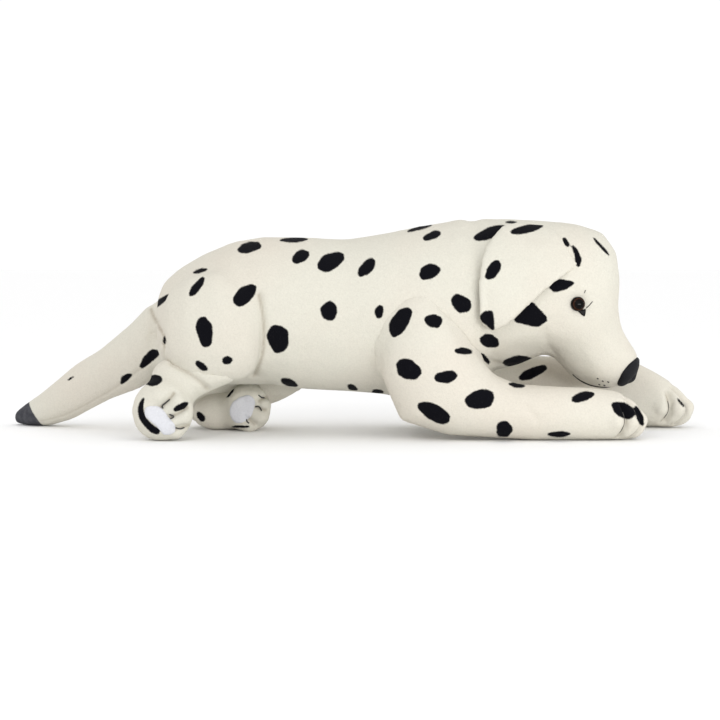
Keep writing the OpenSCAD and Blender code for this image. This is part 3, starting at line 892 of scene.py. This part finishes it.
limbs = [*forelegs.values(), tail, *hinds.values()]
sculpt_paws()
painted_creases = limb_painted_creases()
hidden = HiddenSpots([trunk, *limbs], seed=5)
paint_spots(trunk, BODY_SPOTS + HEAD_SPOTS, CHEEK_SPOTS, hidden, 1, painted_creases=trunk_painted_creases)
paint_spots(forelegs[RIGHT], BODY_SPOTS, [], hidden, 1, painted_creases=painted_creases[forelegs[RIGHT]])
paint_spots(forelegs[LEFT], FAR_PAW_SPOTS, [], hidden, 2, painted_creases=painted_creases[forelegs[LEFT]])
# The dark tip starts along a slanting line, further forward low down.
tip_depth = (-0.381 - points_of(tail) @ np.array([1, 0, 0.63])) / mm
paint_spots(tail, HEM_SPOTS, HEM_SHAPES, hidden, 3, tip_depth, painted_creases[tail])
paint_spots(hinds[RIGHT], HOCK_SPOTS, [HEEL_BAND], hidden, 4, painted_creases=painted_creases[hinds[RIGHT]])
paint_spots(hinds[LEFT], FAR_FOOT_SPOTS, [], hidden, 5, painted_creases=painted_creases[hinds[LEFT]])

for obj in [trunk, *limbs]:
    dress(obj, plush)
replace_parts(trunk, *TORSO_NODES, *HEAD_NODES, *THIGH_NODES)
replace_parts(forelegs[RIGHT], *FORELEG_NODES[:3])
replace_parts(forelegs[LEFT], *FORELEG_NODES[3:])
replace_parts(tail, *TAIL_NODES)
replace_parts(hinds[RIGHT], "right_shank_panel", "right_foot_panel", "right_hind_stuffing")
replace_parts(hinds[LEFT], "left_shank_panel", "left_foot_panel", "left_hind_stuffing")
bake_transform(trunk)
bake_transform(forelegs[RIGHT])
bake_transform(forelegs[LEFT])
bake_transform(tail)
for hind in hinds.values():
    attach(hind, "torso")


# ---- Ears ----

EAR_EDGE = [(266, 203), (252, 225), (244, 243), (222, 252), (186, 249), (166, 236), (152, 210),
            (146, 180), (146, 145), (149, 134), (165, 126), (188, 140), (211, 161), (229, 177),
            (260, 197)]
EAR_SEAM = [(266, 203), (252, 225), (244, 243), (222, 252)]
EAR_THICK = 6.5


def resampled(path, step):
    """Evenly spaced points round a closed path."""
    path = np.array(rounded(list(path) + [path[0]], 2)[:-1])
    path = np.vstack([path, path[:1]])
    along = np.concatenate([[0], np.cumsum(np.linalg.norm(np.diff(path, axis=0), axis=1))])
    n = int(along[-1] / step)
    places = np.linspace(0, along[-1], n, endpoint=False)
    return np.stack([np.interp(places, along, path[:, k]) for k in (0, 1)], 1)


def filled(corners, step):
    """Triangles over a shape with rounded corners: points, faces and each point's distance
    from the edge."""
    edge = resampled(corners, step)
    ring = [tuple(p) for p in edge]
    low, high = edge.min(0), edge.max(0)
    us, vs = np.meshgrid(np.arange(low[0], high[0], step), np.arange(low[1], high[1], step))
    grid = np.stack([us.ravel(), vs.ravel()], 1)
    inner = grid[corner_distance(grid, ring) < -1 - 0.6 * step]
    links = [(i, (i + 1) % len(edge)) for i in range(len(edge))]
    points = [Vector(p) for p in np.concatenate([edge, inner])]
    verts, _, faces, *_ = delaunay_2d_cdt(points, links, [list(range(len(edge)))], 1, 1e-5)
    flat = np.array([v[:] for v in verts])
    rim = np.maximum(-corner_distance(flat, ring) - 1, 0)
    return flat, [list(f) for f in faces], rim


def closed_pad(name, faces, rim, outer, inner, flip=False):
    """A pad with an outer and an inner layer that share their rim."""
    n = len(rim)
    index = np.where(rim < 0.05, np.arange(n), np.arange(n) + n)
    back = [[int(index[i]) for i in reversed(f)] for f in faces]
    if flip:
        faces, back = [f[::-1] for f in faces], [f[::-1] for f in back]
    obj = new_object(name, new_mesh(name, np.concatenate([outer, inner]), faces + back))
    keep_vertices(obj, np.ones(2 * n, bool))
    return obj


def domed(rim, width):
    """The height of a rounded edge of a given width, from 0 at the rim to 1."""
    return np.sqrt(1 - (1 - np.clip(rim / width, 0, 1)) ** 2)


def make_ear(name, side, surface):
    """A flap that hangs from its seam on the head and lies over the cheek."""
    flat, faces, rim = filled(EAR_EDGE, 2.7)
    seam = distance_to_path(np.c_[flat, np.zeros(len(flat))],
                            [np.array([*p, 0.0]) for p in EAR_SEAM])
    hang = ease(seam / 45)
    low = np.clip((190 - flat[:, 1]) / 60, 0, 1)
    lift = -4 + 7.5 * hang + 4.5 * low + 1.2 * np.sin(flat[:, 0] / 13 + flat[:, 1] / 21) * hang
    hits = [surface.side_point(x, z, side) for x, z in flat]
    place = np.array([p for p, n in hits])
    out = unit(np.array([n for p, n in hits]) + np.array([0, side * 0.8, 0]))
    middle = lift + EAR_THICK / 2
    half = domed(rim, EAR_THICK / 2) * EAR_THICK / 2
    outer = place + out * ((middle + half) * mm)[:, None]
    inner = place + out * ((middle - half) * mm)[:, None]
    obj = closed_pad(name, faces, rim, outer, inner, flip=side == LEFT)
    relax(obj, 8)
    subdivide(obj)
    return obj


def patch(name, corners, step, project, lift, height, width, material, body, flip=False,
          shape=None):
    """A pad on a skin, inside corners. project turns a corner into a place and a normal;
    lift, height and width, of its rounded edge, are in mm."""
    flat, faces, rim = filled(corners, step)
    hits = [project(*p) for p in flat]
    place, out = np.array([p for p, n in hits]), np.array([n for p, n in hits])
    rise = lift + height * domed(rim, width)
    if shape is not None:
        rise = rise + shape(flat, rim)
    outer = place + out * (rise * mm)[:, None]
    inner = place - out * (2 * mm)
    obj = closed_pad(name, faces, rim, outer, inner, flip)
    subdivide(obj)
    dress(obj, material)
    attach(obj, body)
    return obj


ears = {}
for side, word in ((RIGHT, "right"), (LEFT, "left")):
    ear = make_ear(f"{word}_ear_skin", side, base)
    ears[side] = ear
    if side == RIGHT:
        paint_spots(ear, EAR_SPOTS, EAR_SHAPES, None, 6)
    else:
        paint_spots(ear, [], [], HiddenSpots([ear], seed=9, spacing=0.05), 7)
    dress(ear, plush)
    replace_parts(ear, f"{word}_ear_outer", f"{word}_ear_lining")
    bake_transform(ear)

# ---- Face ----

EYE_R, EYE_DOME = 8.5, 5.5
EYE_TURN = math.radians(16)
WASHER_BACK = 8.2


def eye_frame(side, word):
    """The middle of an eye's base, and its outward, forward and upward directions."""
    low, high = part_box(f"{word}_eye_washer")
    out = np.array([math.sin(EYE_TURN), side * math.cos(EYE_TURN), 0])
    ahead = np.array([math.cos(EYE_TURN), -side * math.sin(EYE_TURN), 0])
    centre = np.array((low + high) / 2) + out * WASHER_BACK * mm
    return centre, out, ahead, np.array([0, 0, 1.0])


def lathe(name, profile, frame_, steps=48):
    """Turns a profile of (radius, height) in mm about the outward direction of a frame."""
    centre, out, ahead, up = frame_
    verts = []
    for r, h in profile[:-1]:
        for k in range(steps):
            a = 2 * math.pi * k / steps
            verts.append(centre + (out * h + ahead * r * math.cos(a) + up * r * math.sin(a)) * mm)
    verts.append(centre + out * profile[-1][1] * mm)
    faces = []
    for i in range(len(profile) - 2):
        for k in range(steps):
            a, b = i * steps + k, i * steps + (k + 1) % steps
            faces.append([a, b, b + steps, a + steps])
    last, top = (len(profile) - 2) * steps, len(verts) - 1
    faces += [[last + k, last + (k + 1) % steps, top] for k in range(steps)]
    if np.cross(ahead, up) @ out < 0:
        faces = [f[::-1] for f in faces]
    obj = new_object(name, new_mesh(name, verts, faces))
    obj.data.shade_smooth()
    return obj


def iris_material(name, centre, out):
    """Dark brown iris with a black pupil and rim, under a clear gloss."""
    n = Nodes(name)
    coords = n.add("ShaderNodeTexCoord").outputs["Object"]
    away = n.add("ShaderNodeVectorMath", operation="SUBTRACT")
    n.link(coords, away.inputs[0])
    away.inputs[1].default_value = centre
    flat = n.add("ShaderNodeVectorMath", operation="CROSS_PRODUCT")
    n.link(away.outputs[0], flat.inputs[0])
    flat.inputs[1].default_value = out
    radius = n.add("ShaderNodeVectorMath", operation="LENGTH")
    n.link(flat.outputs[0], radius.inputs[0])
    wavy = n.math("ADD", n.math("MULTIPLY", radius.outputs["Value"], 1 / (EYE_R * mm)),
                  n.math("MULTIPLY", n.math("SUBTRACT", n.noise(700, 2, coords), 0.5), 0.10))
    brown, amber, black = (0.012, 0.004, 0.002), (0.040, 0.014, 0.006), (0.001, 0.0008, 0.0008)
    n.link(n.ramp(wavy, (0.0, black), (0.58, black), (0.70, brown), (0.80, amber),
                  (0.88, brown), (0.94, black)), n.shader.inputs["Base Color"])
    n.set(Roughness=0.08)
    n.shader.inputs["Specular IOR Level"].default_value = 0.1
    return n.material


def make_eye(side, word):
    frame_ = eye_frame(side, word)
    centre, out, ahead, up = frame_
    rise = [(EYE_R * math.cos(a), 1.0 + EYE_DOME * math.sin(a))
            for a in np.linspace(0, math.pi / 2, 14)]
    globe = lathe(f"{word}_eye_globe", [(EYE_R, -4), *rise], frame_)
    globe.data.materials.append(iris_material(f"{word}_iris", centre, out))
    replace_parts(globe, f"{word}_eye")
    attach(globe, "head")
    return frame_


def make_tube(name, path, radius, material, body, sides=8, taper=0.6):
    """A round thread along a path of points, thinner at its ends; radius in mm."""
    path = np.array(rounded(path, 2))
    n = len(path)
    verts, faces = [], []
    ahead = unit(np.gradient(path, axis=0))
    across = unit(np.cross(ahead, np.array([0.31, 0.27, 0.91])))
    over = np.cross(ahead, across)
    for i in range(n):
        end = min(i, n - 1 - i) / max(n - 1, 1) * 6
        r = radius * mm * (taper + (1 - taper) * min(end, 1))
        for k in range(sides):
            a = 2 * math.pi * k / sides
            verts.append(path[i] + across[i] * r * math.cos(a) + over[i] * r * math.sin(a))
    for i in range(n - 1):
        for k in range(sides):
            a, b = i * sides + k, i * sides + (k + 1) % sides
            faces.append([a, b, b + sides, a + sides])
    faces.append(list(range(sides))[::-1])
    faces.append([(n - 1) * sides + k for k in range(sides)])
    obj = new_object(name, new_mesh(name, verts, faces))
    obj.data.shade_smooth()
    dress(obj, material)
    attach(obj, body)
    return obj


# All on the plane y = 0, in mm
EYE_CORNER = [(269, 147.5), (275, 147), (282, 149.5), (281, 144), (280, 137.5)]
BROW_STITCH = [(279, 167.5), (280.5, 171)]
LASH = [(281, 149), (285, 152.5), (289, 157.5)]
WHISKERS = [(296, 65), (302, 62), (308.5, 61), (298, 58), (304, 57)]


def across_point(x, z):
    """A place on the far side of the head, opposite to one that shows."""
    place, n = base.seen(x, z)
    return base.side_point(place[0] / mm, place[2] / mm, LEFT)


def thread_path(project, places, lift):
    hits = [project(x, z) for x, z in places]
    return [p + n * lift * mm for p, n in hits]


def merge(name, pieces):
    """Joins several pieces that ride the same body into one."""
    verts, faces = [], []
    for piece in pieces:
        start = sum(len(v) for v in verts)
        verts.append(points_of(piece))
        faces += [[i + start for i in p.vertices] for p in piece.data.polygons]
        bpy.data.objects.remove(piece)
    obj = new_object(name, new_mesh(name, np.concatenate(verts), faces))
    obj.data.shade_smooth()
    return obj


def stitches(name, paths, radius, material, body):
    obj = merge(name, [make_tube(f"{name}_{i}", path, radius, material, body)
                       for i, path in enumerate(paths)])
    dress(obj, material)
    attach(obj, body)
    return obj


projects = {RIGHT: base.seen, LEFT: across_point}
for side, word in ((RIGHT, "right"), (LEFT, "left")):
    make_eye(side, word)
    corner = patch(f"{word}_eye_corner_patch", EYE_CORNER, 1.0, projects[side], 0.9, 0.9, 1.0,
                   corner_leather, "head", flip=side == LEFT)
    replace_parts(corner, f"{word}_eye_corner")
    stitches(f"{word}_lashes", [thread_path(projects[side], BROW_STITCH, 0.3),
                                thread_path(projects[side], LASH, 0.4)],
             0.45, black_thread, "head")

mouth_paths = [thread_path(projects[side], MOUTH, 0.1) for side in (RIGHT, LEFT)]
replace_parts(stitches("mouth_thread", mouth_paths, 1.0, black_thread, "head"),
            "mouth_stitch")
dots = [thread_path(projects[side], [(x - 0.9, z + 0.5), (x, z), (x + 0.9, z - 0.5)], 0.25)
        for side in (RIGHT, LEFT) for x, z in WHISKERS]
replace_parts(stitches("whisker_dots", dots, 0.75, black_thread, "head"),
            "whisker_stitches")

# ---- Nose ----

NOSE_HEART = (0.312, HEAD_MIDDLE, 0.072)


def nose_outline():
    """The nose's edge as seen from inside the muzzle, in degrees; wider low down."""
    places = []
    for t in np.linspace(0, 2 * math.pi, 36, endpoint=False):
        c, s = math.cos(t), math.sin(t)
        u, v = math.copysign(abs(c) ** 0.8, c), math.copysign(abs(s) ** 0.8, s)
        places.append(((80 - 8 * v) * u, -8 + 41 * v))
    return places


def nose_shape(flat, rim):
    """A knob of a nose with two nostrils and the groove between them."""
    turn, rise = flat[:, 0], flat[:, 1]
    nostril = np.exp(-((np.abs(turn) - 36) / 9) ** 2 - ((rise + 4) / 8) ** 2)
    comma = np.exp(-((np.abs(turn) - 48) / 7) ** 2 - ((rise + 10) / 6) ** 2)
    middle = np.exp(-(turn / 4) ** 2) * ease((8 - rise) / 20) * ease(rim / 6)
    knob = np.exp(-(turn / 46) ** 2 - ((rise + 8) / 24) ** 2)
    return 6.5 * knob - 3.0 * nostril - 1.6 * comma - 1.3 * middle


nose = patch("nose_flocked", nose_outline(), 2.6, lambda a, e: base.from_inside(NOSE_HEART, a, e),
             0.3, 3.3, 12, nose_flock, "head", shape=nose_shape)
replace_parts(nose, "nose")
for node in ("nose_washer", "right_eye_washer", "left_eye_washer"):
    for place in nodes[node].material_slots:
        place.material = washer_plastic

# ---- Toe stitches and soles ----

for side, word in ((RIGHT, "right"), (LEFT, "left")):
    skin = Surface(forelegs[side])
    paths = [seam_path(skin, side, turn, high - 14, low + 10) for turn, high, low in TOE_SEAMS]
    threads = stitches(f"{word}_forepaw_stitches", paths, 0.75, grey_thread,
                       f"{word}_foreleg")
    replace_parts(threads, f"{word}_foreleg_toe_stitches")

SOLES = {
    RIGHT: [(-241, 33), (-229, 33), (-221, 23), (-217, 17), (-209, 8), (-211, -2), (-226, -4),
            (-230, 4), (-242, 14), (-248, 19), (-248, 30)],
    LEFT: [(-134, 43), (-121, 47), (-113, 38), (-116, 28), (-118, 20), (-130, 10), (-142, 12),
           (-147, 25), (-143, 37)],
}
# Stitches on the toes of the hind feet, on the plane y = 0, in mm
FOOT_MARKS = {RIGHT: [[(-217, 40), (-223, 35), (-227, 32), (-225, 29)],
                      [(-218, 22), (-211, 19), (-217, 16)], [(-211, 6), (-205, 4), (-200, 6)]],
              LEFT: [[(-111, 45), (-107, 42), (-104, 42)], [(-115, 31), (-110, 32), (-107, 26)],
                     [(-126, 19), (-125, 13), (-122, 11)]]}
for side, word in ((RIGHT, "right"), (LEFT, "left")):
    skin = Surface(hinds[side])
    sole = patch(f"{word}_sole_pad", SOLES[side], 2.2, skin.seen, 0.4, 1.4, 2.5, sole_plush,
                 "torso")
    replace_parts(sole, f"{word}_foot_sole")
    paths = [thread_path(skin.seen, mark, 0.3) for mark in FOOT_MARKS[side]]
    threads = stitches(f"{word}_foot_stitches", paths, 0.9, grey_thread, "torso")
    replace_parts(threads, f"{word}_foot_toe_stitches")

# ---- Stage, light and camera ----


def make_stage():
    size = 8.0
    corners = [(-size, -size, 0), (size, -size, 0), (size, size, 0), (-size, size, 0)]
    floor = new_object("floor", new_mesh("floor", corners, [(0, 1, 2, 3)]))
    n = Nodes("floor_paper")
    n.set(Base_Color=(0.95, 0.95, 0.95, 1), Roughness=0.9)
    floor.data.materials.append(n.material)


def make_light(name, place, aim, size, power):
    light = bpy.data.lights.new(name, "AREA")
    light.shape = "RECTANGLE"
    light.size, light.size_y = size
    light.energy = power
    obj = new_object(name, light)
    obj.visible_camera = False
    obj.location = place
    obj.rotation_euler = (Vector(aim) - Vector(place)).to_track_quat("-Z", "Y").to_euler()


def make_world(strength):
    world = bpy.data.worlds.new("studio")
    world.use_nodes = True
    back = world.node_tree.nodes["Background"]
    back.inputs["Color"].default_value = (1, 1, 1, 1)
    back.inputs["Strength"].default_value = strength
    scene.world = world


def make_camera():
    aim = Vector((0.011, 0.004, 0.087))
    distance, width_seen = 2.6, 0.864
    data = bpy.data.cameras.new("camera")
    data.sensor_width = 36
    data.lens = data.sensor_width * distance / width_seen
    obj = new_object("camera", data)
    obj.location = VIEW_POINT
    obj.rotation_euler = (aim - obj.location).to_track_quat("-Z", "Y").to_euler()
    scene.camera = obj


make_stage()
make_world(1.04)
make_light("key", (0.9, -2.4, 0.95), (0.2, 0, 0.1), (2.0, 1.4), 4)
make_light("low_fill", (0.95, -1.15, 0.1), (0.3, -0.05, 0.09), (0.8, 0.16), 5)
make_light("spark", (-0.9, -2.2, 1.7), (0.1, 0, 0.1), (0.45, 0.45), 7)
make_camera()
scene.view_settings.view_transform = "Standard"
